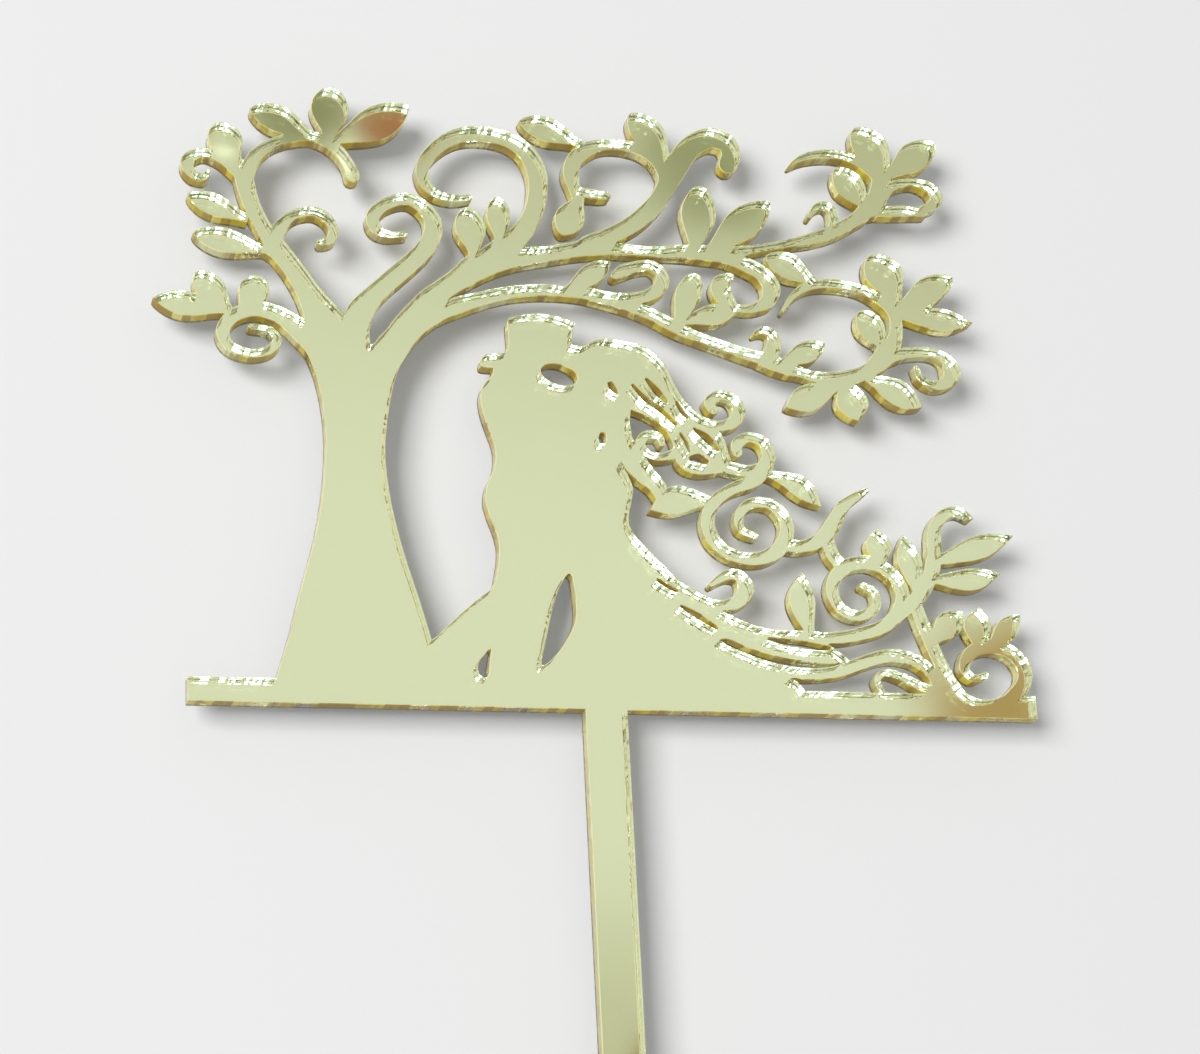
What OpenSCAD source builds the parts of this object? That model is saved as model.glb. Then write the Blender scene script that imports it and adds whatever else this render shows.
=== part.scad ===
// Wedding cake topper, cut from one laminated sheet of gold mirror acrylic.
// A swirling tree leans over a kissing couple; the veil runs out into leaf scrolls.
// X to the right, Z up, front face toward -Y. The origin lies on the underside of the
// base bar, on the stake's centreline, half way through the sheet. Millimetres.

/* [Sheet] */
// Tinted clear acrylic, the front layer
face_thickness = 2.85; // [1.5:0.05:5]
// Metallised mirror layer behind it
film_thickness = 0.05; // [0.02:0.01:0.1]
// Protective paint on the back
coat_thickness = 0.1; // [0.05:0.01:0.3]

/* [Base bar] */
// Left end of the bar, from the stake's centreline
bar_left = 71; // [55:1:80]
// Right end of the bar, from the stake's centreline
bar_right = 79; // [75:1:90]
// Height of the bar
bar_height = 4.2; // [3:0.1:8]

/* [Stake] */
// Width of the stake
stake_width = 7.4; // [5:0.1:12]
// Length below the bar, point included
stake_length = 75; // [40:1:110]
// Length of the pointed end
stake_point = 12; // [4:1:25]

/* [Ornament] */
// Half width of the stalk a leaf grows on
leaf_stalk = 0.75; // [0.5:0.05:1.5]
// How far along a leaf its widest place sits
leaf_belly = 0.6; // [0.45:0.01:0.75]
// Least number of straight pieces along a leaf's edge
leaf_facets = 9; // [6:1:16]
// How closely those pieces crowd toward the tip, 1 being evenly spread
leaf_crowding = 1.5; // [1:0.1:2]
// Turn of a curved cut from one straight piece to the next, degrees
facet_turn = 10; // [6:1:24]
// Least length of a straight piece in a curved cut
facet_length = 0.9; // [0.5:0.1:2]
// Gaps narrower than twice this close up, as with a wide cut
seal = 0.08; // [0.02:0.01:0.2]

/* [Hidden] */
sheet = face_thickness + film_thickness + coat_thickness;
back = sheet / 2;

// Trunk, left and right edge, from the bar upward
trunk_left = [[-57.2, 2], [-56.4, 4.2], [-54.6, 10], [-52, 20], [-49.3, 30], [-47.7, 40],
    [-47.4, 50], [-48, 55], [-49.2, 60], [-51, 64]];
trunk_right = [[-28, 2], [-28.9, 8], [-30, 12], [-31.6, 18], [-34.5, 28], [-36.5, 38], [-37, 46],
    [-36.6, 50], [-35.8, 55], [-34.5, 60], [-33, 63], [-31, 66]];

// The limb that arches over the couple, upper and lower edge
arch_top = [[-38, 58], [-34, 65], [-30, 70], [-27, 73], [-24, 74.9], [-20, 76.1], [-16, 77.2], [-10, 78.3],
    [-6, 78.5], [-2, 78.5], [2, 78.2], [6, 77.5], [10, 76], [13.5, 74.6], [17.3, 72.6], [20, 71.3],
    [25, 69.6], [29, 68.4], [32, 67.8], [35, 67], [38, 64.8]];
arch_under = [[-35.8, 55], [-34.5, 60], [-33, 63], [-31, 66], [-28, 69], [-25, 70.9], [-22, 72.2], [-18, 73.9],
    [-14, 75.2], [-10, 75.9], [-5, 76.2], [0, 75.9], [4, 75], [8, 74], [12, 72.5], [16, 70.4],
    [20, 69], [25, 67.4], [30, 65.7], [34, 64.5], [38, 63.4]];

// The upper limb, upper and lower edge
limb_top = [[-40, 61], [-38.8, 65], [-36.5, 67.7], [-34.5, 70.5], [-32, 73.4], [-30, 75.6],
    [-27, 78], [-23.8, 80.6], [-21.5, 83], [-18.5, 84.2], [-15, 85.2], [-12, 85.3], [-8, 85.8],
    [-4, 86.6], [0, 87.9], [4, 89.7]];
limb_under = [[-36, 60], [-31, 67], [-28, 71.5], [-24, 75.2], [-20, 77.8], [-16, 80], [-12, 81.5],
    [-6, 83], [0, 84.3], [6.5, 85.1]];

// Branches and curls of the tree, each a run of [x, z, width]
branches = [
    // low curl on the left
    [[-46, 62, 5], [-50.5, 66.3, 4.4], [-54.5, 69.4, 3.4], [-59, 70.6, 3], [-63, 69, 2.6],
     [-64.8, 66, 2.4], [-63.5, 63.3, 2], [-60, 62.2, 1.8], [-56.8, 63, 1.7], [-55.4, 65, 1.6],
     [-56.8, 66.8, 1.3], [-60, 67.2, 1]],
    // left limb
    [[-43, 61, 9], [-46.6, 68.6, 7.4], [-49.7, 74, 4.6], [-52.6, 78.8, 3.9], [-55.2, 82.2, 4],
     [-57.5, 86, 3], [-59.5, 90, 3.1], [-60.8, 95, 3.4], [-61, 97.5, 3]],
    // arc at the top left
    [[-60.8, 95, 3], [-60, 97.5, 2.8], [-58.5, 100.3, 2.5], [-55.5, 102.7, 2], [-51.5, 104.2, 2],
     [-48, 104.4, 2.2], [-44.5, 102.5, 2.3], [-42.3, 99.5, 2.3], [-41.6, 97.3, 2.6]],
    // small curl on the far left
    [[-61.2, 95.8, 2.8], [-63.5, 98, 2.4], [-65.5, 99.2, 2], [-68, 99.8, 1.8], [-70.4, 98.7, 2.4],
     [-70.8, 97, 2.2], [-69.8, 95.4, 1.8], [-67.9, 95, 1.4], [-67.3, 96.2, 1]],
    // left lobe of the heart
    [[-56, 82, 3], [-54.8, 86, 2.6], [-52.5, 88.7, 2], [-49, 89.8, 2], [-46.4, 88.7, 2],
     [-45.2, 86.4, 1.8], [-45.9, 84.5, 1.6], [-47.5, 84, 1.4]],
    // right lobe of the heart
    [[-41.5, 60, 6], [-42, 66.5, 5.5], [-40.8, 71, 4.8], [-37.8, 75, 3.7], [-33.5, 79.2, 3.6],
     [-29.2, 83.6, 3.4], [-27.3, 87.5, 3.4], [-28.1, 91, 3], [-31.5, 93.4, 2.5], [-35.5, 92.3, 2.4],
     [-38, 89.8, 2.5], [-37.7, 87.4, 2.2], [-35.6, 86.3, 1.6], [-32.5, 86.5, 1.1]],
    // great swirl
    [[-18, 82, 5], [-14, 85.5, 4.6], [-10.8, 88.8, 3.7], [-8.7, 92.8, 3.5], [-7.8, 97, 3.6],
     [-8, 101, 3.8], [-9.9, 104.6, 3.6], [-13.5, 106.8, 3.3], [-18.5, 107.4, 3.2], [-23, 106.3, 3],
     [-26.8, 103.4, 2.7], [-28.9, 100, 2.4], [-28.6, 97, 2.2], [-26.8, 95, 1.8], [-23.5, 94.2, 1.5],
     [-20.5, 94.6, 1.1]],
    // rising branch with its hook
    [[1, 86.5, 4], [6, 89.2, 3.3], [10, 91.7, 3.4], [13, 94.5, 3.4], [15.2, 97.3, 3.4],
     [16.8, 100.5, 4], [18.8, 104, 4.4], [21.3, 107.6, 4.2], [25, 109.9, 4.2], [28.2, 109.4, 4.1],
     [29.3, 107, 3.8], [28.5, 104.7, 3.5]],
    // round loop at the top
    [[16.6, 101, 3], [15, 104.4, 2.6], [12, 106.6, 2.6], [8, 107.2, 2.2], [4.5, 106.9, 2.4],
     [1.5, 105.6, 3], [-0.8, 103.3, 3], [-1.5, 100.5, 3], [-1, 98, 2.4], [-0.4, 95.8, 2.2]],
    [[-0.8, 97.2, 2.2], [2, 96.9, 2], [5, 96.8, 1.6]],
    // long upper branch
    [[4, 86.3, 2.6], [9, 86.2, 2.2], [14, 86.2, 2.2], [19, 86.6, 2.8], [24, 86.6, 3.4], [28, 86.8, 3],
     [32, 87.9, 1.8], [36, 88.8, 1.6], [40, 89.8, 1.8], [44, 91, 2.4], [47.5, 92.3, 2.6],
     [51, 94.2, 2.6], [54, 96.4, 3], [56.8, 99.2, 3.6], [58.3, 102.5, 4], [58.8, 106, 3.6]],
    [[47.9, 92.8, 2], [48.4, 94.8, 1.8], [48.1, 97.1, 1.7], [46.7, 98, 1.5], [45, 97.2, 1.3],
     [43.8, 95.4, 0.9]],
    // horn, loop and spur at the top right
    [[58.6, 103.5, 3], [56.2, 106, 2.6], [53, 107.9, 2.1], [49, 108.5, 2], [45, 107.9, 1.8],
     [42.4, 106.8, 1.3], [40.8, 105.6, 0.6]],
    [[57.2, 98.5, 3], [60, 102.4, 2.2], [64.5, 103.8, 1.7], [67.8, 103.1, 2.4], [69.2, 101, 2.6],
     [68, 99.2, 2], [66.2, 98.5, 1.4]],
    [[55.5, 97.2, 2.6], [60, 97.5, 2.4], [64, 97.8, 2.2], [66.5, 97.6, 1.4]],
    // ring under the long branch
    [[24, 86, 2.1], [27, 85.7, 2.2], [30, 85, 3], [33.4, 83.3, 3.2], [35.2, 80.6, 3.6],
     [34.3, 77.8, 2.8], [31.5, 76.2, 1.8], [28.2, 76, 1.6]],
    [[27.8, 76.3, 2], [26.3, 77.8, 3.6], [25.6, 79.6, 4], [26, 81.1, 3.2], [27.4, 82.2, 1.7]],
    // curl on the arch
    [[3, 77, 1.6], [8, 76.6, 2.4], [12, 77.6, 2.4], [14.4, 79.8, 2.6], [14.4, 82, 2.4],
     [12.6, 83.4, 2.2], [9.8, 83, 2.2], [7.2, 82, 2.4], [5.8, 81, 1.6]],
    // hook on the arch
    [[33.9, 66.3, 3], [34.6, 68, 3], [35, 70, 2.6], [34.4, 71.6, 1.9], [32.9, 71.9, 1.5],
     [31.5, 71.2, 0.8]],
    // end of the arch, turning up into the right-hand stem
    [[32, 66.4, 2.6], [36.5, 65, 3.2], [40.5, 63.8, 2], [45, 63, 3], [49, 63.6, 3], [52.3, 64.9, 2.8],
     [54.8, 66.8, 3.6], [56.9, 69.2, 4], [58.5, 72, 2.8], [58.9, 75, 2.5], [58.6, 78, 3], [59, 80.5, 3]],
    [[37.3, 76.1, 0.8], [38.6, 78.2, 1.1], [41, 80.5, 1.6], [44.5, 81.8, 2], [49, 81.9, 2],
     [53, 81.1, 2], [56.3, 79.3, 2.3], [58.6, 76.8, 2.4]],
    // ring at the right
    [[56.6, 68, 3], [60, 69, 2.2], [64.5, 69.4, 1.9], [67.6, 68.5, 2.4], [69, 66, 3.6],
     [68, 63.8, 2.6], [65.5, 62.9, 1.8], [63, 64, 1.6], [62, 66.2, 1]],
    [[59.4, 77.5, 3], [62.5, 77.9, 1.8], [65.9, 78.6, 0.8]]
];

// Leaves of the tree, each [base x, base z, tip x, tip z, width, bend to the left of its run],
// and on a blunt leaf how sharp its tip is, 1 being as sharp as the others
leaves = [
    [-64, 70, -76.8, 71.5, 4.5, 0, 0.8], [-63.5, 69.8, -69.3, 76.9, 5, 0, 0.5],
    [-61.5, 70.2, -57.9, 76.7, 5, 0, 0.5], [-61.9, 98, -65.7, 105.8, 5.9, 0, 0.5],
    [-60.2, 87.5, -70.8, 91.7, 4.2, 0, 0.65], [-57, 81.8, -69.9, 84.3, 4.6, 0, 0.65],
    [-48.5, 104.4, -59.7, 109.2, 5.2, -0.4, 0.65], [-45.8, 103.8, -45.2, 114.5, 6.6, 0, 0.45],
    [-45.5, 103.6, -31, 112, 6.4, -0.4, 0.75], [-20, 83, -21, 92.6, 5.4, 0, 0.5],
    [-15.3, 86, -15.3, 95.1, 4.2, 0, 0.5], [17.2, 104, 10.4, 113.9, 6.2, -0.4, 0.6],
    [0.8, 106.8, -10.7, 110.7, 4.9, -0.3, 0.65], [0.2, 96.5, -3.8, 88.3, 5.2, 0, 0.65],
    [20.9, 86.2, 23.2, 100, 6.4, 0, 0.5], [23.1, 86.4, 36.2, 97.8, 6, 0, 0.7],
    [55.4, 97.5, 49.6, 105.8, 5.8, 0, 0.6], [60, 104.5, 54.1, 114.4, 7, -0.5, 0.55],
    [59.5, 104.6, 69.8, 112.5, 5.6, 0, 0.6], [44, 81.8, 34.6, 86.8, 5.2, -0.4, 0.7],
    [59.7, 78.5, 55.1, 88.4, 7.4, -0.5, 0.55], [59.6, 78, 70.9, 84.9, 5, 0, 0.65],
    [59.2, 76.4, 74, 75.8, 4.4, 0], [56.4, 69.5, 52.1, 77, 5.2, 0, 0.5],
    [17.4, 72.7, 28.7, 75.8, 3.8, 0, 0.8], [16.8, 72.2, 21.2, 82.4, 4.6, 0, 0.5],
    [-3.5, 77.2, 5, 83.8, 3.8, 0, 0.7], [36, 65.5, 44.7, 70, 4, 0, 0.7],
    [47, 62, 36.4, 57.2, 4.9, 0, 0.8], [47.8, 63.9, 50, 55, 6, 0, 0.9],
    [51.8, 64, 62.4, 58.4, 5.2, 0.3, 0.8]
];

// The couple, outline run by run, corners where two runs meet
couple_runs = [
    [[-32, 2], [-31, 10], [-29, 12.3], [-27, 14.3], [-24, 17.1], [-21, 19.7], [-19, 21.4], [-18.2, 24], [-17.6, 28],
     [-18, 31], [-19, 34], [-19.7, 37], [-19.3, 40], [-18.1, 42.5], [-17.6, 45], [-17.8, 47.5],
     [-18.6, 50], [-19.5, 53], [-19.9, 56], [-19.4, 58.3], [-18.2, 59.8], [-17.5, 60.8]],
    [[-17.4, 61.7], [-18.6, 61.7], [-19.6, 62], [-19.5, 63.3], [-18.8, 64.2], [-17, 64.7], [-15.4, 64.9]],
    [[-14.7, 65.4], [-14.6, 68], [-14.5, 70.6]],
    [[-14.3, 71.3], [-12.5, 72.1], [-9, 72.7], [-6, 72.5], [-3.5, 71.9], [-2, 71.3]],
    [[-2.2, 71], [-2.6, 70], [-2.7, 68.5], [-2.9, 67.1]],
    [[-1, 66.9], [1, 68], [3, 68.6], [6, 68.4], [9.5, 67.8], [12, 66.5], [13.6, 64.8]],
    [[13.6, 62], [11, 58], [7.3, 55], [7.3, 50]],
    [[8, 48.6], [9, 47], [10.3, 45], [11.7, 43.2], [13, 41.3], [13.4, 39.2], [11.8, 37.6]],
    [[11, 38.4], [10, 40], [8, 41.6], [6, 43.5], [4.9, 45.3]],
    [[4.9, 45.3], [6.3, 42.3], [6.9, 40.3], [6.5, 38], [5.9, 35.5], [5.8, 34], [6.3, 32.5], [8, 30.2],
     [10, 28], [12, 26], [13.5, 24.4], [16, 22.6], [18, 21.4], [20, 20.5]],
    [[20.8, 18.6], [22, 13.2]],
    [[21, 13], [24, 11], [28, 9], [32, 7.2], [35, 5.4], [36.5, 3], [36.5, 2]]
];

// Train of the dress, upper and lower edge
train_top = [[18, 19.6], [20.5, 18.8], [22.5, 18], [26, 16.4], [29, 15.5], [33, 15.1], [38, 15.2]];
train_under = [[18, 15], [22, 13.2], [26, 11.7], [30, 10.5], [36, 9.5], [41, 9.2], [45, 9.6]];

// Veil, outer and inner edge
veil_out = [[11, 66.5], [13.6, 64.8], [14.9, 62.5], [16, 59.8], [17.5, 57.3], [19.5, 55.4], [21.3, 54],
    [22.8, 52.6], [24, 51], [24.6, 49.3], [25, 47.5], [25.4, 46]];
veil_in = [[6.5, 55.4], [9.5, 54.3], [11.8, 53.1], [13.6, 51.3], [14.6, 49.2], [15, 47], [15.4, 45.2],
    [17, 43.9], [20, 43.4], [24, 44.2]];

// Curls of the veil and the train
veil_curls = [
    [[20.5, 53.4, 2.2], [23.5, 52.9, 2], [26.3, 53.9, 2.4], [27.4, 56.2, 2.6], [26, 58.4, 2.2],
     [23.6, 58.7, 2], [22, 57.2, 2.2], [22.6, 55.9, 1.8]],
    [[23.5, 45.4, 2.4], [27.5, 44.6, 2.2], [31, 45.2, 2.6], [32.4, 47.6, 2.6], [31.4, 50.2, 2.4],
     [28.8, 51, 2], [26.6, 49.6, 2.2], [26.6, 48, 1.8]],
    [[15.3, 47.4, 2], [12.5, 46.5, 1.6], [10, 47, 1.6], [8.7, 48.9, 1.8], [10, 50.5, 1.7],
     [12.2, 50.4, 1.5], [12.7, 49, 1.1]],
    [[16, 20.8, 3], [19, 19.6, 2.4], [22, 19.3, 2], [25, 20.3, 2.6], [26.4, 22.5, 3.2], [25.3, 24.8, 2.4],
     [23, 24.9, 1.9], [20.2, 23.1, 1]],
    [[20, 11, 4], [25, 9.4, 3], [30, 8, 2.4], [36, 7.3, 2.2], [42, 7.8, 2.2], [47, 9.6, 2.4],
     [52, 11, 2.4], [57, 10.2, 2.4], [60.2, 7.3, 2.4], [61.5, 3, 2.6]],
    [[61, 4.2, 2], [57.5, 5.4, 1.8], [54, 7.2, 1.6], [51, 7.8, 1.4], [49.4, 6.4, 1.3], [50.3, 4.2, 1.1]]
];

// Slits cut through the veil and the train
slits = [
    [[10.5, 61.1, 0.5], [12.3, 58.9, 1.3], [13.9, 57, 0.6]],
    [[7.9, 59.8, 0.5], [10, 57.4, 0.9], [12.8, 55.4, 0.9], [15.4, 52.8, 0.5]],
    [[18.8, 52.1, 0.4], [20.8, 50.6, 1.4], [22.9, 48.4, 0.7]],
    [[18, 46.4, 1], [19.4, 46.5, 1.7], [20.7, 45.9, 0.9]],
    [[15.8, 57, 0.4], [16.6, 55.4, 0.7], [17.6, 54.2, 0.4]],
    [[16.2, 51, 0.4], [17.2, 49.2, 0.7], [17.6, 47.8, 0.4]],
    [[10.4, 23.6, 0.4], [12, 22.6, 0.7], [13.8, 21.6, 0.4]],
    [[14.4, 18.9, 0.4], [17.4, 17.2, 1], [20.6, 15.1, 0.5]],
    [[30, 13.4, 0.5], [34, 12.8, 1.2], [38, 12.3, 1.3], [41, 12, 0.6]]
];

// Gaps in the couple
couple_gaps = [
    [[-8.8, 61.8], [-7.5, 63], [-5, 63], [-2.8, 61.8], [-2.2, 60.4], [-3.5, 59.3], [-6, 59.4], [-8, 60.4]],
    [[-10.9, 7.6], [-10.6, 10], [-9.6, 14], [-8.4, 18.5], [-6.9, 22.3], [-5.4, 24.3], [-4.8, 22.8],
     [-4.5, 19], [-4.7, 15.8], [-6.3, 12.4], [-8.6, 9.3]],
    [[-19.7, 10.4], [-20, 8.4], [-20.4, 5.6], [-21.3, 5.3], [-22.1, 6.4], [-21.8, 8], [-20.8, 9.2]],
    [[3.3, 60.1], [4, 60.3], [4.8, 59.2], [5.2, 58], [4.4, 58.3], [3.5, 59.2]],
    [[1.5, 50.5], [2.3, 50.5], [2.5, 49.4], [2.3, 48.6], [1.4, 48.6], [1.1, 49.3]]
];

// Leaf scrolls at the lower right
scrolls = [
    // volute under the veil
    [[31.8, 45.4, 2.6], [29.4, 42.8, 2.4], [25, 41, 2.2], [21.5, 38.2, 2.4], [20.2, 34.5, 2.6],
     [21.5, 30.8, 2.6], [25.2, 28.4, 2.4], [30, 28.4, 2.6], [33.8, 31, 2.8], [34.8, 35, 2.6],
     [32.5, 38.2, 2.2], [28.8, 38.6, 2], [26.2, 36.4, 1.8], [26.3, 33.6, 1.6], [28.8, 32.4, 1.3]],
    // shoot between the volutes
    [[33.8, 31, 2.6], [37.5, 30.8, 2.4], [41, 32.2, 2.8], [43.6, 35.2, 3], [45.8, 38.8, 2.4],
     [50.3, 41.8, 1]],
    // volute in the middle
    [[34, 14.3, 1.8], [40, 13.9, 2.2], [46, 14.6, 2.4], [52.5, 17, 2.6], [55.5, 21.5, 2.8], [54, 26, 2.6],
     [49.5, 28.2, 2.6], [44.8, 27, 2.6], [42.4, 23.3, 2.4], [43.6, 19.6, 2.2], [47, 18.2, 2],
     [50.2, 19.8, 1.8], [50.3, 22.6, 1.6], [48.2, 23.8, 1.3]],
    [[45, 26.8, 2.4], [42.9, 29.6, 2.6], [42, 33, 2.6]],
    // stem at the right with its hook
    [[54, 18.4, 2.6], [58, 21.5, 2.8], [60.8, 25.5, 2.8], [62.3, 30, 3], [62.6, 34.5, 2.6], [64.6, 37.6, 2.2],
     [67.5, 38.6, 1.8], [69.8, 37.4, 1]],
    [[57.6, 21, 2.6], [59.2, 16, 2.6], [61.2, 10.5, 2.6], [63.5, 5.5, 2.8], [66, 2, 3]],
    // volute at the end of the bar
    [[73.8, 3, 3], [76.8, 6.2, 2.8], [77.3, 9.4, 2.9], [75, 12.3, 2.8], [71, 13.3, 2.8], [67.3, 11.8, 2.4],
     [66, 9, 2], [67.6, 7.2, 1.6], [70, 7.9, 1.1]]
];
scroll_leaves = [
    [22, 38.4, 9.8, 36.4, 5, -1.4], [31.8, 44.2, 41.6, 38.4, 4, 1.2], [38, 13.6, 37, 26, 4.6, 0.8],
    [51.8, 27, 51.8, 34.6, 4.6, 0], [58.6, 22, 56.6, 33.6, 4.4, 0], [61.4, 28.4, 77.8, 34.3, 4.2, 0],
    [60.6, 25.6, 74.6, 27, 4, -0.8], [71, 12.6, 77.6, 19.4, 3.8, 0], [69.4, 12, 70, 20.5, 5, 0.6],
    [60, 13.6, 66.6, 19.6, 4.6, 0]
];

function flat(p) = [p[0], p[1]];
function flip(list) = [for (i = [len(list) - 1 : -1 : 0]) list[i]];
function spline(a, b, c, d, t) = 0.5 * (2 * b + (c - a) * t + (2 * a - 5 * b + 4 * c - d) * t * t
    + (3 * b - a - 3 * c + d) * t * t * t);
function turn(u, v) = abs(atan2(u[0] * v[1] - u[1] * v[0], u * v));
function pieces(a, b, c, d) = max(1, ceil(min(
    turn(flat(c - a), flat(d - b)) / facet_turn, norm(flat(c - b)) / facet_length)));

// A smooth run through points
function run(p) = [for (i = [0 : len(p) - 2])
    let (a = p[max(i - 1, 0)], b = p[i], c = p[i + 1], d = p[min(i + 2, len(p) - 1)], n = pieces(a, b, c, d))
    for (k = [0 : n - 1]) spline(a, b, c, d, k / n),
    p[len(p) - 1]];

// A smooth closed loop through points
function loop(p) = let (m = len(p)) [for (i = [0 : m - 1])
    let (a = p[(i + m - 1) % m], b = p[i], c = p[(i + 1) % m], d = p[(i + 2) % m], n = pieces(a, b, c, d))
    for (k = [0 : n - 1]) spline(a, b, c, d, k / n)];

function heading(p, i) = let (d = flat(p[min(i + 1, len(p) - 1)]) - flat(p[max(i - 1, 0)])) d / norm(d);
function side(p, i, s) = let (h = heading(p, i)) flat(p[i]) + s * p[i][2] / 2 * [-h[1], h[0]];
function cap(p, i, s) = let (h = heading(p, i), r = p[i][2] / 2)
    [for (a = [50 : r > 1 ? -25 : -50 : -50]) flat(p[i]) + r * s * (cos(a) * h + sin(a) * [-h[1], h[0]])];

// A stroke of changing width with round ends
module stroke(points) {
    c = run(points);
    n = len(c);
    polygon(concat([for (i = [0 : n - 1]) side(c, i, 1)], cap(c, n - 1, 1),
        [for (i = [n - 1 : -1 : 0]) side(c, i, -1)], cap(c, 0, -1)));
}

// The field between two edges
module field(edge_a, edge_b) {
    polygon(concat(run(edge_a), flip(run(edge_b))));
}

// A pointed leaf on a short stalk
module leaf(v) {
    base = [v[0], v[1]];
    along = [v[2], v[3]] - base;
    across = [-along[1], along[0]] / norm(along);
    power = ln(0.5) / ln(leaf_belly);
    point = is_undef(v[6]) ? 1 : v[6];
    n = max(leaf_facets, ceil(norm(along) / facet_length / leaf_crowding));
    places = [for (i = [0 : n]) 1 - pow(1 - i / n, leaf_crowding)];
    c = [for (t = places) base + along * t + across * v[5] * 4 * t * (1 - t)];
    h = [for (t = places) let (swell = sin(180 * pow(t, power)))
        v[4] / 2 * (t > leaf_belly ? pow(swell, point) : swell) + leaf_stalk * pow(1 - t, 2)];
    polygon(concat([for (i = [0 : n]) c[i] + across * h[i]], [for (i = [n - 1 : -1 : 0]) c[i] - across * h[i]]));
}

module tree() {
    field(trunk_left, trunk_right);
    field(arch_top, arch_under);
    field(limb_top, limb_under);
    for (b = branches) stroke(b);
    for (v = leaves) leaf(v);
}

module couple() {
    difference() {
        union() {
            polygon([for (r = couple_runs) each run(r)]);
            field(veil_out, veil_in);
            field(train_top, train_under);
        }
        for (g = couple_gaps) polygon(loop(g));
        for (s = slits) stroke(s);
    }
    for (s = veil_curls) stroke(s);
}

module scrollwork() {
    for (s = scrolls) stroke(s);
    for (v = scroll_leaves) leaf(v);
}

module footing() {
    translate([-bar_left, 0]) square([bar_left + bar_right, bar_height]);
    polygon([[-stake_width / 2, 1], [-stake_width / 2, stake_point - stake_length], [0, -stake_length],
        [stake_width / 2, stake_point - stake_length], [stake_width / 2, 1]]);
}

// The whole cut outline, hairline cracks closed
module cut_outline() {
    offset(delta = -seal) offset(delta = seal) {
        tree();
        couple();
        scrollwork();
        footing();
    }
}

// One layer of the sheet, from its back plane forward
module layer(y_back, thickness) {
    translate([0, y_back, 0]) rotate([90, 0, 0]) linear_extrude(thickness) cut_outline();
}

module face_sheet() {
    color([0.86, 0.84, 0.58, 0.6]) layer(back - coat_thickness - film_thickness, face_thickness);
}

module mirror_film() {
    color([0.83, 0.76, 0.5]) layer(back - coat_thickness, film_thickness);
}

module back_coat() {
    color([0.55, 0.55, 0.54]) layer(back, coat_thickness);
}

face_sheet();
mirror_film();
back_coat();
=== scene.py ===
"""Looks of a wedding cake topper, laser-cut from gold mirror acrylic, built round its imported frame.

Metres. X runs to the right, Z up, and the mirrored front faces -Y.
"""
import math

import bmesh
import bpy
from mathutils import Matrix, Vector


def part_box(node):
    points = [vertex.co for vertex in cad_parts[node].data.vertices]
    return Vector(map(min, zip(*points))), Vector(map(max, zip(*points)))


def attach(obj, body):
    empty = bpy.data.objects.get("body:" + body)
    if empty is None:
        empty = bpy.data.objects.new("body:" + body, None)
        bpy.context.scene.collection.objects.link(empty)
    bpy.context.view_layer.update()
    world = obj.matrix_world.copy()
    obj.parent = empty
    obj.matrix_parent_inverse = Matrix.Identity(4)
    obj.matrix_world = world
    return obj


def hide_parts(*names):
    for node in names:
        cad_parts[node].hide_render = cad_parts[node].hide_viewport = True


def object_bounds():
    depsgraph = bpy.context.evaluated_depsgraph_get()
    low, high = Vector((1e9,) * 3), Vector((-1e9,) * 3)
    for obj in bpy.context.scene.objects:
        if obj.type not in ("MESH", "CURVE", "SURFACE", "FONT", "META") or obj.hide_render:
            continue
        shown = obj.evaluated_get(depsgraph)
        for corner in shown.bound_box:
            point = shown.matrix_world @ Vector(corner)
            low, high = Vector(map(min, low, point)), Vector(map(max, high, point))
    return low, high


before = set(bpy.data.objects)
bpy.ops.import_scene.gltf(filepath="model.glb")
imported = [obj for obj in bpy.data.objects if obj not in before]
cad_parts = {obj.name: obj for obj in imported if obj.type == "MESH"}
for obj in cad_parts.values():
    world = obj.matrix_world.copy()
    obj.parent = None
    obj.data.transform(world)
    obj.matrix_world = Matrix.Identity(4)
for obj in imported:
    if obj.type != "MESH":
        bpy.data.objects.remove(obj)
cad_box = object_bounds()

MM = 0.001
WELD = 0.002 * MM

# Outline: the front of the sheet, how finely its curves run, which turns stay corners, the broken arris
FRONT_FACING = 0.9
CURVE_STEPS = 3
CORNER_TURN = math.radians(55)
STRAIGHT_TURN = math.radians(14)
STRAIGHT_LENGTH = 3 * MM
SHARP_EDGE = math.radians(38)
EDGE_BREAK = 0.13 * MM
BOND = 0.01 * MM

# Finishes: linear colours, and the size and depth of what varies over them
ACRYLIC_TINT = (0.73, 0.89, 0.88, 1)
ACRYLIC_INDEX = 1.49
SMEAR_SIZE = 9 * MM
SMEAR_DEPTH = 0.03 * MM
FILM_GOLD = (0.91, 0.81, 0.48, 1)
FILM_SHADE = (0.89, 0.77, 0.43, 1)
FILM_CLOUD_SIZE = 30 * MM
FILM_WAVE_SIZE = 22 * MM
FILM_WAVE_DEPTH = 0.1 * MM
PAINT_GREY = (0.3, 0.3, 0.29, 1)
PAINT_SHADE = (0.24, 0.24, 0.235, 1)
PAINT_CLOUD_SIZE = 18 * MM
PAINT_GRAIN_SIZE = 0.5 * MM
PAINT_GRAIN_DEPTH = 0.04 * MM
STAGE_PALE = (0.86, 0.86, 0.86, 1)

# Cut edge: the clear wall with its upright marks, level passes and tilted stretches
CUT_TINT = (0.84, 0.9, 0.66, 1)
CUT_RELIEF = 0.06 * MM
CUT_MARK_SIZE = 0.9 * MM
CUT_PASS_SIZE = 0.7 * MM
CUT_BLOCK = 0.55 * MM
CUT_TILT = 0.27
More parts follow.
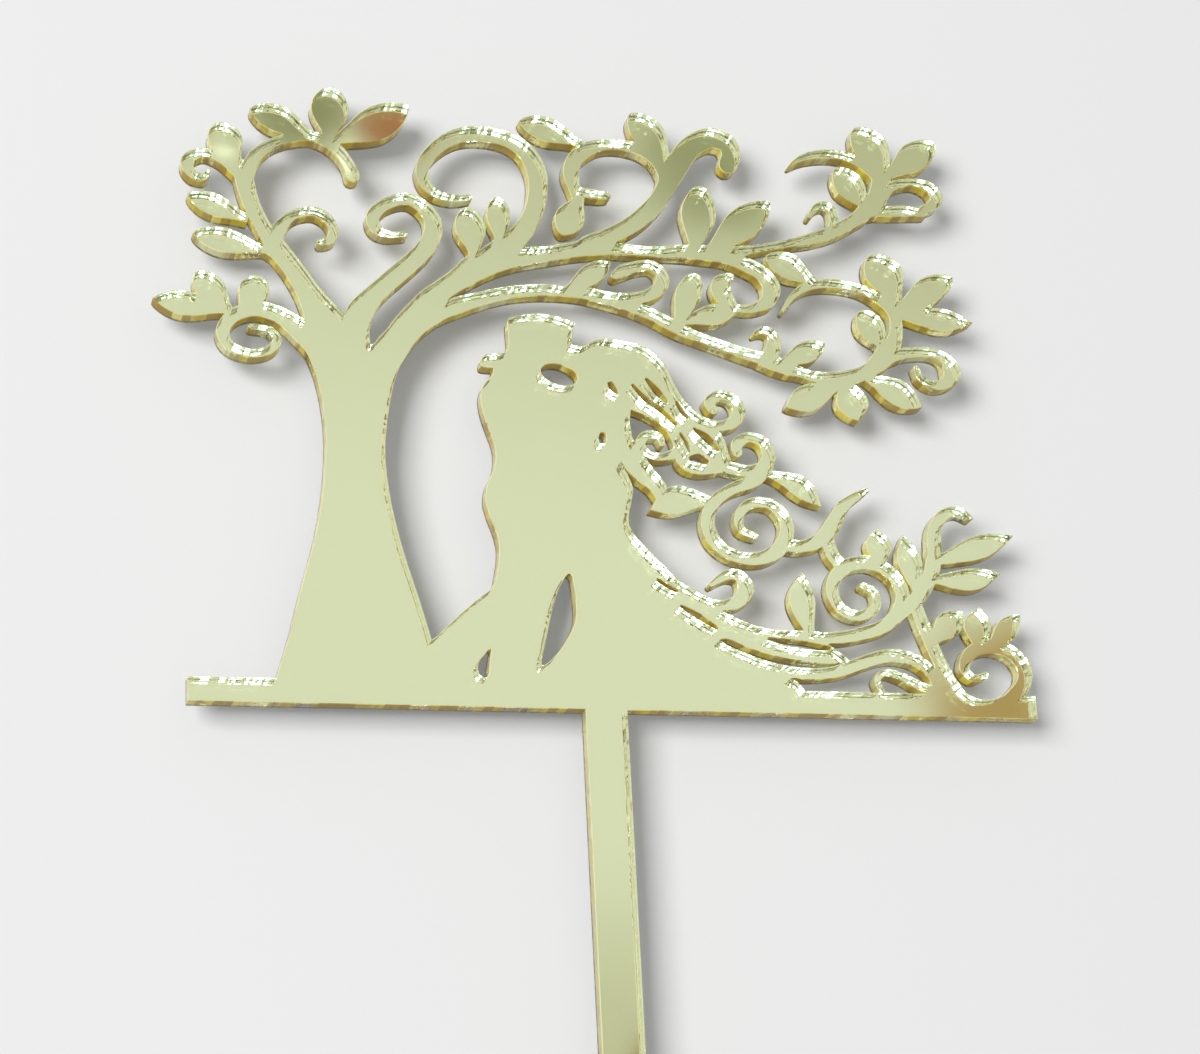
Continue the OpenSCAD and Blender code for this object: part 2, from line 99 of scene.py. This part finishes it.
# Bends in radians a metre, and the share of its tilt that a straight cut keeps
STRAIGHT_BEND = 0.5
GENTLE_BEND = 3
TIGHT_BEND = 25
STRAIGHT_TILT = 0.12
# The scorched line at the mirror
SCORCH = (0.14, 0.1, 0.02, 1)
SCORCH_DEPTH = 0.85 * MM
SCORCH_SEEN_THROUGH = 0.2
LEVEL_FACING = (0.25, 0.75)
# Painted shade and reflection on the wall, gold and brown where it faces down: its colours, how much of it
# there is outside and on the shaded upper-left side, its patches
CUT_PALE = (0.94, 0.94, 0.56, 1)
CUT_PAINTED_GOLD = (0.92, 0.74, 0.06, 1)
CUT_PAINTED_BROWN = (0.46, 0.29, 0.03, 1)
PAINTED_WALL_SHARE = 0.8
SHADED_SIDE_SHARE = 0.4
SHADED_SIDE = (0.75, 0, -0.66)
SHADED_SIDE_FACING = (0.55, 0.95)
UNDER_FACING = (0.1, -0.6)
PATCHES_A_STRETCH = 0.35
PATCH_DRAW = 0.37
PAINTED_BROWN_DRIFT = 7 * MM
PAINTED_BROWN_RANGE = (0.3, 0.7)
STRAIGHT_PAINTED_BROWN = 0.12
PALE_DRIFT = 12 * MM
PALE_RANGE = (0.66, 0.84)
PAINTED_SHARE_RANGE = (0.4, 0.65)

# Camera, fitted to the photograph's 1200 by 1054 pixels
CAMERA_AZIMUTH = math.radians(-15.5)
CAMERA_ELEVATION = math.radians(-19)
CAMERA_ROLL = math.radians(-2.978)
CAMERA_DISTANCE = 500 * MM
CAMERA_TARGET = Vector((0.49, -1.5, 32.92)) * MM
CAMERA_LENS = 86.34
SENSOR_WIDTH = 36

# Stage: the pale surface behind, the room that the mirror sees, and the surroundings as light
BACKDROP_GAP = 5 * MM
BACKDROP_SIZE = 1.6
ROOM_PLACE = Vector((0.165, -0.6, 0.215))
ROOM_WIDTH = 0.38
ROOM_HEIGHT = 0.46
ROOM_PALE = (1.0, 1.0, 1.06, 1)
ROOM_WARM = (0.62, 0.6, 0.51, 1)
ROOM_WARM_RISE = 0.32
ROOM_WARM_LEAN = 0.25
THING_EDGE = 1.4
THING_CORE = 0.2
# Warm, dark and bright things in the room: x and z from its middle, half width, half height, colour
ROOM_THINGS = [(-0.077, 0.207, 0.018, 0.017, (0.5, 0.2, 0.11, 1)),
               (-0.118, 0.214, 0.024, 0.022, (0.34, 0.34, 0.24, 1)),
               (0.062, 0.202, 0.035, 0.036, (0.44, 0.44, 0.34, 1)),
               (0.19, -0.04, 0.06, 0.05, (0.6, 0.4, 0.22, 1)),
               (0.0, -0.25, 0.06, 0.13, (0.76, 0.74, 0.7, 1)),
               (0.013, -0.188, 0.012, 0.02, (0.45, 0.32, 0.18, 1)),
               (-0.148, 0.189, 0.005, 0.003, (1.9, 1.9, 1.9, 1)),
               (-0.098, 0.189, 0.004, 0.005, (3, 3, 3, 1))]
SEEN_AHEAD = (1.0, 1.0, 1.0, 1)
SEEN_ASIDE = (0.72, 0.6, 0.2, 1)
FELT_WORLD = 0.4
AHEAD_RANGE = (0.15, 0.7)
LIGHT_BOUNCES = 24
# Colour of the lamps that clear and mirrored surfaces show
GLINT_LIGHT = (0.5, 0.76, 1.0)
# Lamps: place from the middle of the view, width, height, power, and whether matte surfaces
# take their light or clear and mirrored ones show them
LAMPS = [("key", (-2.44, -3.14, 0.26), 2.0, 2.0, 124.0, True),
         ("rear", (1.5, 2.2, 1.0), 1.5, 1.5, 55.0, True),
         ("low", (0.12, -0.73, -0.275), 0.4, 0.14, 2.1, False),
         ("front", (-0.26, -0.73, -0.21), 0.3, 0.22, 2.6, False)]


class Wire:
    """An output socket. Arithmetic on it adds Math nodes to its tree."""

    def __init__(self, bench, socket):
        self.bench = bench
        self.socket = socket

    def out(self, key):
        """Another output of the same node."""
        return Wire(self.bench, pick(self.socket.node.outputs, key))

    def math(self, operation, first, second=0.0):
        """A Math node in the same tree."""
        return self.bench.add("ShaderNodeMath", {"operation": operation}, {0: first, 1: second})

    def __add__(self, other):
        return self.math("ADD", self, other)

    def __sub__(self, other):
        return self.math("SUBTRACT", self, other)

    def __rsub__(self, other):
        return self.math("SUBTRACT", other, self)

    def __mul__(self, other):
        return self.math("MULTIPLY", self, other)

    def __gt__(self, other):
        return self.math("GREATER_THAN", self, other)

    __radd__ = __add__
    __rmul__ = __mul__


def pick(sockets, key):
    """A socket by its number, its identifier or its name."""
    if isinstance(key, int):
        return sockets[key]
    return next((s for s in sockets if s.identifier == key), None) or sockets[key]


class Bench:
    """A node tree being wired."""

    def __init__(self, tree):
        self.tree = tree

    def add(self, kind, settings=None, inputs=None, out=0):
        """A node of a kind, with its settings, then the values or links of its sockets."""
        node = self.tree.nodes.new(kind)
        for name, value in (settings or {}).items():
            if name == "captures":
                for label in value:
                    node.capture_items.new("FLOAT", label)
            else:
                setattr(node, name, value)
        for key, value in (inputs or {}).items():
            for one in value if isinstance(value, list) else [value]:
                self.feed(pick(node.inputs, key), one)
        return Wire(self, pick(node.outputs, out)) if len(node.outputs) else node

    def feed(self, socket, value):
        if isinstance(value, Wire):
            self.tree.links.new(value.socket, socket)
        else:
            socket.default_value = value


def cut_loops(node):
    """Closed runs of (x, z) round a CAD node's front face, the solid on the left of each.

    Each run starts at its leftmost point, so that marks along it fall in the same place every time.
    """
    mesh = bmesh.new()
    mesh.from_mesh(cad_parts[node].data)
    bmesh.ops.remove_doubles(mesh, verts=mesh.verts, dist=WELD)
    front = [face for face in mesh.faces if face.normal.y < -FRONT_FACING]
    known = set(front)
    follow = {}
    for face in front:
        for corner in face.loops:
            if not any(other in known for other in corner.edge.link_faces if other is not face):
                follow[corner.vert] = corner.link_loop_next.vert
    loops = []
    while follow:
        here, after = follow.popitem()
        run = [here]
        while after is not run[0]:
            run.append(after)
            after = follow.pop(after)
        points = [Vector((v.co.x, v.co.z, 0)) for v in run]
        first = min(range(len(points)), key=lambda i: points[i].to_tuple())
        loops.append(points[first:] + points[:first])
    mesh.free()
    return sorted(loops, key=lambda points: points[0].to_tuple())


def outline_curve(loops):
    """One curve of all loops: smooth where the cut turns gently, sharp at its corners."""
    curve = bpy.data.curves.new("cut_outline", "CURVE")
    curve.dimensions = "3D"
    for points in loops:
        spline = curve.splines.new("BEZIER")
        spline.bezier_points.add(len(points) - 1)
        spline.use_cyclic_u = True
        spline.resolution_u = CURVE_STEPS
        for i, knot in enumerate(spline.bezier_points):
            here = points[i]
            came = here - points[i - 1]
            goes = points[(i + 1) % len(points)] - here
            reach = min(came.length, goes.length)
            knot.handle_left_type = knot.handle_right_type = "FREE"
            knot.co = here
            turn = came.angle(goes)
            if turn > CORNER_TURN or turn > STRAIGHT_TURN and reach > STRAIGHT_LENGTH:
                knot.handle_left = here - came / 3
                knot.handle_right = here + goes / 3
            else:
                along = (came * goes.length / came.length + goes * came.length / goes.length).normalized()
                knot.handle_left = here - along * min(came.length / 3, reach)
                knot.handle_right = here + along * min(goes.length / 3, reach)
    return curve


def change_along(bench, kind):
    """How far a field of the outline's points moves from the point before to the point after."""
    here = bench.add("GeometryNodeInputIndex")
    field = bench.add(kind)
    before, after = (bench.add("GeometryNodeFieldAtIndex", {"data_type": "FLOAT_VECTOR"},
                               {"Index": here + step, "Value": field}) for step in (-1.0, 1.0))
    return bench.add("ShaderNodeVectorMath", {"operation": "DISTANCE"}, {0: before, 1: after}, out="Value")


def reciprocal(wire):
    return wire.math("DIVIDE", 1.0, wire.math("MAXIMUM", wire, WELD))


def layer_tree():
    """Node tree that turns the cut outline into one closed layer of the sheet."""
    tree = bpy.data.node_groups.new("cut_layer", "GeometryNodeTree")
    sockets = [("Outline", "Geometry"), ("Front", "Float"), ("Back", "Float"), ("Edge Break", "Float"),
               ("Finish", "Material"), ("Cut Finish", "Material"), ("Back Finish", "Material")]
    for label, kind in sockets:
        tree.interface.new_socket(label, in_out="INPUT", socket_type="NodeSocket" + kind)
    tree.interface.new_socket("Layer", in_out="OUTPUT", socket_type="NodeSocketGeometry")
    bench = Bench(tree)
    given = bench.add("NodeGroupInput")
    front, back, edge_break = given.out("Front"), given.out("Back"), given.out("Edge Break")

    def point(x, y, z=0.0):
        return bench.add("ShaderNodeCombineXYZ", {}, {0: x, 1: y, 2: z})

    def line(start, end):
        return bench.add("GeometryNodeCurvePrimitiveLine", {"mode": "POINTS"}, {"Start": start, "End": end})

    upright = bench.add("GeometryNodeSetCurveNormal", {"mode": "Z_UP"}, {"Curve": given.out("Outline")})
    fine = bench.add("GeometryNodeResampleCurve", {"mode": "EVALUATED"}, {"Curve": upright})
    run = bench.add("GeometryNodeSplineParameter", out="Length")
    turned = change_along(bench, "GeometryNodeInputTangent")
    bend = turned * reciprocal(change_along(bench, "GeometryNodeInputPosition"))
    marked = bench.add("GeometryNodeCaptureAttribute", {"captures": ["run", "bend"]},
                       {"Geometry": fine, 1: run, 2: bend})

    # Walls: the wall line and its broken arris swept along the outline
    depth = 0.0 - front
    arris = line(point(0.0 - edge_break, depth), point(0.0, depth + edge_break))
    wall = line(point(0.0, depth + edge_break), point(0.0, 0.0 - back))
    profile = bench.add("GeometryNodeJoinGeometry", {}, {"Geometry": [arris, wall]})
    walls = bench.add("GeometryNodeCurveToMesh", {}, {"Curve": marked, "Profile Curve": profile})
    place = bench.add("ShaderNodeSeparateXYZ", {}, {0: bench.add("GeometryNodeInputPosition")}, out="Z")
    walls = bench.add("GeometryNodeStoreNamedAttribute", {"data_type": "FLOAT2", "domain": "CORNER"},
                      {"Geometry": walls, "Name": "cut_run", "Value": point(marked.out(1), place)})
    walls = bench.add("GeometryNodeStoreNamedAttribute", {"data_type": "FLOAT", "domain": "POINT"},
                      {"Geometry": walls, "Name": "cut_bend", "Value": marked.out(2)})

    # Faces: the outline filled at the front, inside the arris, and at the back
    inward = bench.add("ShaderNodeVectorMath", {"operation": "SCALE"},
                       {0: bench.add("GeometryNodeInputNormal"), "Scale": 0.0 - edge_break})
    inner = bench.add("GeometryNodeSetPosition", {}, {"Geometry": fine, "Offset": inward})

    def fill(outline, height):
        flat = bench.add("GeometryNodeFillCurve", {"mode": "TRIANGLES"}, {"Curve": outline})
        lift = point(0.0, 0.0, height)
        return bench.add("GeometryNodeTransform", {}, {"Geometry": flat, "Translation": lift})

    def finish(geometry, label):
        return bench.add("GeometryNodeSetMaterial", {}, {"Geometry": geometry, "Material": given.out(label)})

    face = finish(fill(inner, front), "Finish")
    rear = finish(bench.add("GeometryNodeFlipFaces", {}, {"Mesh": fill(fine, back)}), "Back Finish")
    walls = finish(walls, "Cut Finish")
    whole = bench.add("GeometryNodeJoinGeometry", {}, {"Geometry": [face, walls, rear]})
    whole = bench.add("GeometryNodeMergeByDistance", {}, {"Geometry": whole, "Distance": WELD})

    # Shading: smooth along the cut, sharp at its corners and arrises
    whole = bench.add("GeometryNodeSetShadeSmooth", {"domain": "FACE"},
                      {"Geometry": whole, "Shade Smooth": True})
    sharp = bench.add("GeometryNodeInputMeshEdgeAngle") > SHARP_EDGE
    whole = bench.add("GeometryNodeSetShadeSmooth", {"domain": "EDGE"},
                      {"Geometry": whole, "Selection": sharp, "Shade Smooth": False})
    whole = bench.add("GeometryNodeTransform", {}, {"Geometry": whole, "Rotation": (math.pi / 2, 0, 0)})
    whole = bench.add("GeometryNodeRealizeInstances", {}, {"Geometry": whole})
    bench.add("NodeGroupOutput", {}, {"Layer": whole})
    return tree


def cut_layer(name, node, outline, tree, bond, edge_break, finishes):
    """One layer of the sheet as a plain mesh that stands for its CAD node, a bond behind the one before."""
    low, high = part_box(node)
    blank = bpy.data.objects.new("blank", outline)
    bpy.context.scene.collection.objects.link(blank)
    cut = blank.modifiers.new("cut", "NODES")
    cut.node_group = tree
    values = {"Front": -low.y - bond, "Back": -high.y, "Edge Break": edge_break}
    values.update(zip(("Finish", "Cut Finish", "Back Finish"), finishes))
    for item in tree.interface.items_tree:
        if item.in_out == "INPUT" and item.name in values:
            cut[item.identifier] = values[item.name]
    ready = blank.evaluated_get(bpy.context.evaluated_depsgraph_get())
    mesh = bpy.data.meshes.new_from_object(ready)
    mesh.name = name
    bpy.data.objects.remove(blank)
    piece = bpy.data.objects.new(name, mesh)
    bpy.context.scene.collection.objects.link(piece)
    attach(piece, "root")
    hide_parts(node)
    return piece


def new_material(name):
    material = bpy.data.materials.new(name)
    material.use_nodes = True
    material.node_tree.nodes.clear()
    return material, Bench(material.node_tree)


def close_material(bench, shader):
    bench.add("ShaderNodeOutputMaterial", {}, {"Surface": shader})


def blend(bench, factor, first, second):
    return bench.add("ShaderNodeMix", {"data_type": "RGBA"},
                     {"Factor_Float": factor, "A_Color": first, "B_Color": second}, "Result_Color")


def fade(bench, value, start, end):
    """0 at start, 1 at end, eased at both."""
    return bench.add("ShaderNodeMapRange", {"interpolation_type": "SMOOTHSTEP"},
                     {0: value, 1: start, 2: end, 3: 0.0, 4: 1.0})


def noise(bench, place, size, detail):
    """Noise whose lumps are about size across, in metres."""
    return bench.add("ShaderNodeTexNoise", {}, {"Vector": place, "Scale": 1 / size, "Detail": detail}, "Fac")


def stretch(bench, place, scale):
    return bench.add("ShaderNodeMapping", {}, {"Vector": place, "Scale": scale})


def acrylic(bench, tint, roughness, bump):
    """Clear tinted acrylic."""
    return bench.add("ShaderNodeBsdfPrincipled", {}, {
        "Base Color": tint, "Roughness": roughness, "IOR": ACRYLIC_INDEX,
        "Transmission Weight": 1.0, "Normal": bump})


def polished_face():
    """The sheet's own polished face, with faint smears."""
    material, bench = new_material("gold_acrylic")
    place = bench.add("ShaderNodeTexCoord", out="Object")
    smears = noise(bench, place, SMEAR_SIZE, 3)
    bump = bench.add("ShaderNodeBump", {}, {"Strength": 0.2, "Distance": SMEAR_DEPTH, "Height": smears})
    close_material(bench, acrylic(bench, ACRYLIC_TINT, 0.015 + smears * 0.02, bump))
    return material


def random_step(bench, steps):
    """A random value from 0 to 1 for each whole step."""
    return bench.add("ShaderNodeTexWhiteNoise", {"noise_dimensions": "1D"}, {"W": steps}, "Value")


def drifting(bench, run, size):
    """Noise that changes along the cut alone."""
    return noise(bench, stretch(bench, run, (1, 0, 1)), size, 1)


def laser_cut():
    """Cut edge: short stretches that the laser leaves tilted, painted shade and reflection on them, and a
    scorched line.
    """
    material, bench = new_material("cut_acrylic")
    run = bench.add("ShaderNodeUVMap", {"uv_map": "cut_run"})
    along = bench.add("ShaderNodeSeparateXYZ", {}, {0: run})
    above_back = along.out("Y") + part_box("face_sheet")[1].y
    bend = bench.add("ShaderNodeAttribute", {"attribute_name": "cut_bend"}, out="Fac")
    straight = fade(bench, bend, GENTLE_BEND, STRAIGHT_BEND)
    normal = bench.add("ShaderNodeTexCoord", out="Normal")
    facing = bench.add("ShaderNodeSeparateXYZ", {}, {0: normal}, out="Z")
    outside = 1.0 - bench.add("ShaderNodeNewGeometry", out="Backfacing")

    # Clear wall, steadier where the cut is straight
    marks = noise(bench, stretch(bench, run, (1, 0.1, 1)), CUT_MARK_SIZE, 1)
    passes = noise(bench, stretch(bench, run, (0.06, 1, 1)), CUT_PASS_SIZE, 1)
    stretches = along.math("FLOOR", along * (1 / CUT_BLOCK) + marks * 2)
    tilt = random_step(bench, stretches) - 0.5
    unsteady = STRAIGHT_TILT + fade(bench, bend, GENTLE_BEND, TIGHT_BEND) * (1 - STRAIGHT_TILT)
    relief = passes * CUT_RELIEF + (marks * CUT_RELIEF + tilt * above_back * CUT_TILT) * unsteady
    bump = bench.add("ShaderNodeBump", {}, {"Strength": 1.0, "Distance": 1.0, "Height": relief})
    clear = acrylic(bench, CUT_TINT, 0.01 + marks * 0.03, bump)

    # Painted shade and reflection: gold and brown patches painted underneath with pale stretches between
    # them, pale painted elsewhere
    patch = random_step(bench, along.math("FLOOR", stretches * PATCHES_A_STRETCH) + PATCH_DRAW)
    drift = drifting(bench, run, PAINTED_BROWN_DRIFT)
    painted_brown = fade(bench, patch * 0.6 + drift * 0.4 + straight * STRAIGHT_PAINTED_BROWN, *PAINTED_BROWN_RANGE)
    pale = fade(bench, drifting(bench, run, PALE_DRIFT) + marks * 0.3, *PALE_RANGE) * (1 - straight)
    under = fade(bench, facing, *UNDER_FACING)
    painted_wall_colour = blend(bench, under * (1 - pale), CUT_PALE, blend(bench, painted_brown, CUT_PAINTED_GOLD, CUT_PAINTED_BROWN))
    painted_wall = bench.add("ShaderNodeBsdfPrincipled", {}, {
        "Base Color": painted_wall_colour, "Roughness": 0.3 + marks * 0.2, "Specular IOR Level": 0.2})
    # Share of the painted shade and reflection: on walls seen from outside, varied where they face down; on
    # upper-left walls seen through the sheet
    painted_share = 0.55 + (fade(bench, drift + patch * 0.2, *PAINTED_SHARE_RANGE) - 0.45) * under
    toward_shade = bench.add("ShaderNodeVectorMath", {"operation": "DOT_PRODUCT"}, {0: normal, 1: SHADED_SIDE}, "Value")
    painted_amount = outside * painted_share * PAINTED_WALL_SHARE + (1 - outside) * fade(bench, toward_shade, *SHADED_SIDE_FACING) * SHADED_SIDE_SHARE
    painted_over = bench.add("ShaderNodeMixShader", {}, {0: painted_amount, 1: clear, 2: painted_wall})

    # Scorched line, fainter where an upright wall is seen through the sheet
    soot = bench.add("ShaderNodeBsdfPrincipled", {}, {"Base Color": SCORCH, "Roughness": 0.35 + marks * 0.2})
    level = fade(bench, facing.math("ABSOLUTE", facing), *LEVEL_FACING)
    burnt = fade(bench, above_back, SCORCH_DEPTH, SCORCH_DEPTH * 0.4) * (0.8 + tilt * 0.6)
    burnt = burnt * (1 - (1 - outside) * (1 - level) * (1 - SCORCH_SEEN_THROUGH))
    close_material(bench, bench.add("ShaderNodeMixShader", {}, {0: burnt, 1: painted_over, 2: soot}))
    return material


def mirror_metal():
    """Bright gold mirror layer, faintly uneven as rolled sheet is."""
    material, bench = new_material("mirror_metal")
    place = bench.add("ShaderNodeTexCoord", out="Object")
    clouds = noise(bench, place, FILM_CLOUD_SIZE, 2)
    waves = noise(bench, place, FILM_WAVE_SIZE, 1)
    colour = blend(bench, clouds * 0.5, FILM_GOLD, FILM_SHADE)
    bump = bench.add("ShaderNodeBump", {}, {"Strength": 0.4, "Distance": FILM_WAVE_DEPTH, "Height": waves})
    shader = bench.add("ShaderNodeBsdfPrincipled", {}, {
        "Base Color": colour, "Metallic": 1.0, "Roughness": 0.03 + clouds * 0.03, "Normal": bump})
    close_material(bench, shader)
    return material


def back_paint():
    """Matte grey backing paint with a fine sprayed grain."""
    material, bench = new_material("back_paint")
    place = bench.add("ShaderNodeTexCoord", out="Object")
    grain = noise(bench, place, PAINT_GRAIN_SIZE, 2)
    clouds = noise(bench, place, PAINT_CLOUD_SIZE, 3)
    colour = blend(bench, clouds, PAINT_GREY, PAINT_SHADE)
    bump = bench.add("ShaderNodeBump", {}, {"Strength": 0.3, "Distance": PAINT_GRAIN_DEPTH, "Height": grain})
    shader = bench.add("ShaderNodeBsdfPrincipled", {}, {
        "Base Color": colour, "Roughness": 0.5 + clouds * 0.2, "Normal": bump})
    close_material(bench, shader)
    return material


def stand_camera():
    """Camera at the photograph's view, rolled as the photograph is."""
    turn, lift = CAMERA_AZIMUTH, CAMERA_ELEVATION
    back = Vector((math.sin(turn) * math.cos(lift), -math.cos(turn) * math.cos(lift), math.sin(lift)))
    level = Vector((math.cos(turn), math.sin(turn), 0))
    above = back.cross(level)
    right = level * math.cos(CAMERA_ROLL) + above * math.sin(CAMERA_ROLL)
    up = above * math.cos(CAMERA_ROLL) - level * math.sin(CAMERA_ROLL)
    data = bpy.data.cameras.new("camera")
    data.lens = CAMERA_LENS
    data.sensor_width = SENSOR_WIDTH
    camera = bpy.data.objects.new("camera", data)
    spin = Matrix((right, up, back)).transposed().to_4x4()
    camera.matrix_world = Matrix.Translation(CAMERA_TARGET + back * CAMERA_DISTANCE) @ spin
    bpy.context.scene.collection.objects.link(camera)
    bpy.context.scene.camera = camera


def light_world():
    """Plain pale surroundings: one level as light, another where they are seen or mirrored."""
    world = bpy.data.worlds.new("world")
    world.use_nodes = True
    world.node_tree.nodes.clear()
    bpy.context.scene.world = world
    bench = Bench(world.node_tree)
    path = bench.add("ShaderNodeLightPath", out="Is Camera Ray")
    mirrored = path.math("MINIMUM", path.out("Is Glossy Ray") + path.out("Is Transmission Ray"), 1.0)
    seen = bench.add("ShaderNodeTexCoord", out="Generated")
    way = bench.add("ShaderNodeSeparateXYZ", {}, {0: seen}, out="Y")
    ahead = fade(bench, 0.0 - way, *AHEAD_RANGE)
    colour = blend(bench, mirrored * (1.0 - ahead), SEEN_AHEAD, SEEN_ASIDE)
    level = FELT_WORLD + path.math("MINIMUM", path + mirrored, 1.0) * (1.0 - FELT_WORLD)
    glow = bench.add("ShaderNodeBackground", {}, {"Color": colour, "Strength": level})
    bench.add("ShaderNodeOutputWorld", {}, {"Surface": glow})


def aim(place, target):
    return (target - place).to_track_quat("-Z", "Y").to_matrix().to_4x4()


def soft_box(name, place, width, height, power, on_matte):
    """An area lamp facing the topper."""
    data = bpy.data.lights.new(name, "AREA")
    data.shape = "RECTANGLE"
    data.size = width
    data.size_y = height
    data.energy = power
    lamp = bpy.data.objects.new(name, data)
    lamp.matrix_world = Matrix.Translation(place) @ aim(place, CAMERA_TARGET)
    if not on_matte:
        data.color = GLINT_LIGHT
    lamp.visible_diffuse = on_matte
    lamp.visible_glossy = lamp.visible_transmission = not on_matte
    bpy.context.scene.collection.objects.link(lamp)


def plane(name, centre, width, height, material):
    """An upright plane across the view."""
    mesh = bpy.data.meshes.new(name)
    w, h = width / 2, height / 2
    mesh.from_pydata([(-w, -h, 0), (w, -h, 0), (w, h, 0), (-w, h, 0)], [], [(0, 1, 2, 3)])
    mesh.materials.append(material)
    obj = bpy.data.objects.new(name, mesh)
    obj.matrix_world = Matrix.Translation(centre) @ Matrix.Rotation(math.pi / 2, 4, "X")
    bpy.context.scene.collection.objects.link(obj)
    return obj


def backdrop():
    """Pale surface behind the sheet, seen from its front only."""
    material, bench = new_material("pale_surface")
    path = bench.add("ShaderNodeLightPath", out="Is Shadow Ray")
    behind = bench.add("ShaderNodeNewGeometry", out="Backfacing")
    unseen = path.math("MINIMUM", path + path.out("Is Diffuse Ray") + behind, 1.0)
    pale = bench.add("ShaderNodeBsdfDiffuse", {}, {"Color": STAGE_PALE})
    clear = bench.add("ShaderNodeBsdfTransparent")
    close_material(bench, bench.add("ShaderNodeMixShader", {}, {0: unseen, 1: pale, 2: clear}))
    centre = Vector((0, cad_box[1].y + BACKDROP_GAP, CAMERA_TARGET.z))
    plane("backdrop", centre, BACKDROP_SIZE, BACKDROP_SIZE, material)


def room():
    """What the mirror sees in front of it: a pale wall, warmer towards its top, and a few things."""
    material, bench = new_material("room")
    place = bench.add("ShaderNodeSeparateXYZ", {}, {0: bench.add("ShaderNodeTexCoord", out="Object")})
    across, rise = place, place.out("Y")
    warmth = fade(bench, rise + across * ROOM_WARM_LEAN, 0.0, ROOM_WARM_RISE)
    colour = blend(bench, warmth, ROOM_PALE, ROOM_WARM)
    for x, z, half_width, half_height, thing in ROOM_THINGS:
        off = (across - x) * (1 / half_width)
        over = (rise - z) * (1 / half_height)
        near = fade(bench, off * off + over * over, THING_EDGE, THING_CORE)
        colour = blend(bench, near, colour, thing)
    close_material(bench, bench.add("ShaderNodeEmission", {}, {"Color": colour, "Strength": 1.0}))
    wall = plane("room", ROOM_PLACE, ROOM_WIDTH, ROOM_HEIGHT, material)
    wall.visible_camera = wall.visible_diffuse = wall.visible_shadow = False


def dress_topper():
    """The three layers of the sheet, cut along one outline."""
    outline = outline_curve(cut_loops("face_sheet"))
    tree = layer_tree()
    clear, cut, metal, paint = polished_face(), laser_cut(), mirror_metal(), back_paint()
    layers = [("face_sheet_cut", "face_sheet", 0.0, EDGE_BREAK, (clear, cut, metal), "gold_acrylic"),
              ("mirror_film_cut", "mirror_film", BOND, 0.0, (metal, metal, metal), "mirror_metal"),
              ("back_coat_cut", "back_coat", BOND, 0.0, (paint, paint, paint), "back_paint")]
    for name, node, bond, edge_break, finishes, slot in layers:
        cut_layer(name, node, outline, tree, bond, edge_break, finishes)
    bpy.data.curves.remove(outline)


bpy.context.scene.view_settings.view_transform = "Standard"
stand_camera()
dress_topper()
backdrop()
light_world()
room()
for name, place, width, height, power, on_matte in LAMPS:
    soft_box(name, CAMERA_TARGET + Vector(place), width, height, power, on_matte)
paths = bpy.context.scene.cycles
paths.max_bounces = paths.glossy_bounces = paths.transmission_bounces = LIGHT_BOUNCES
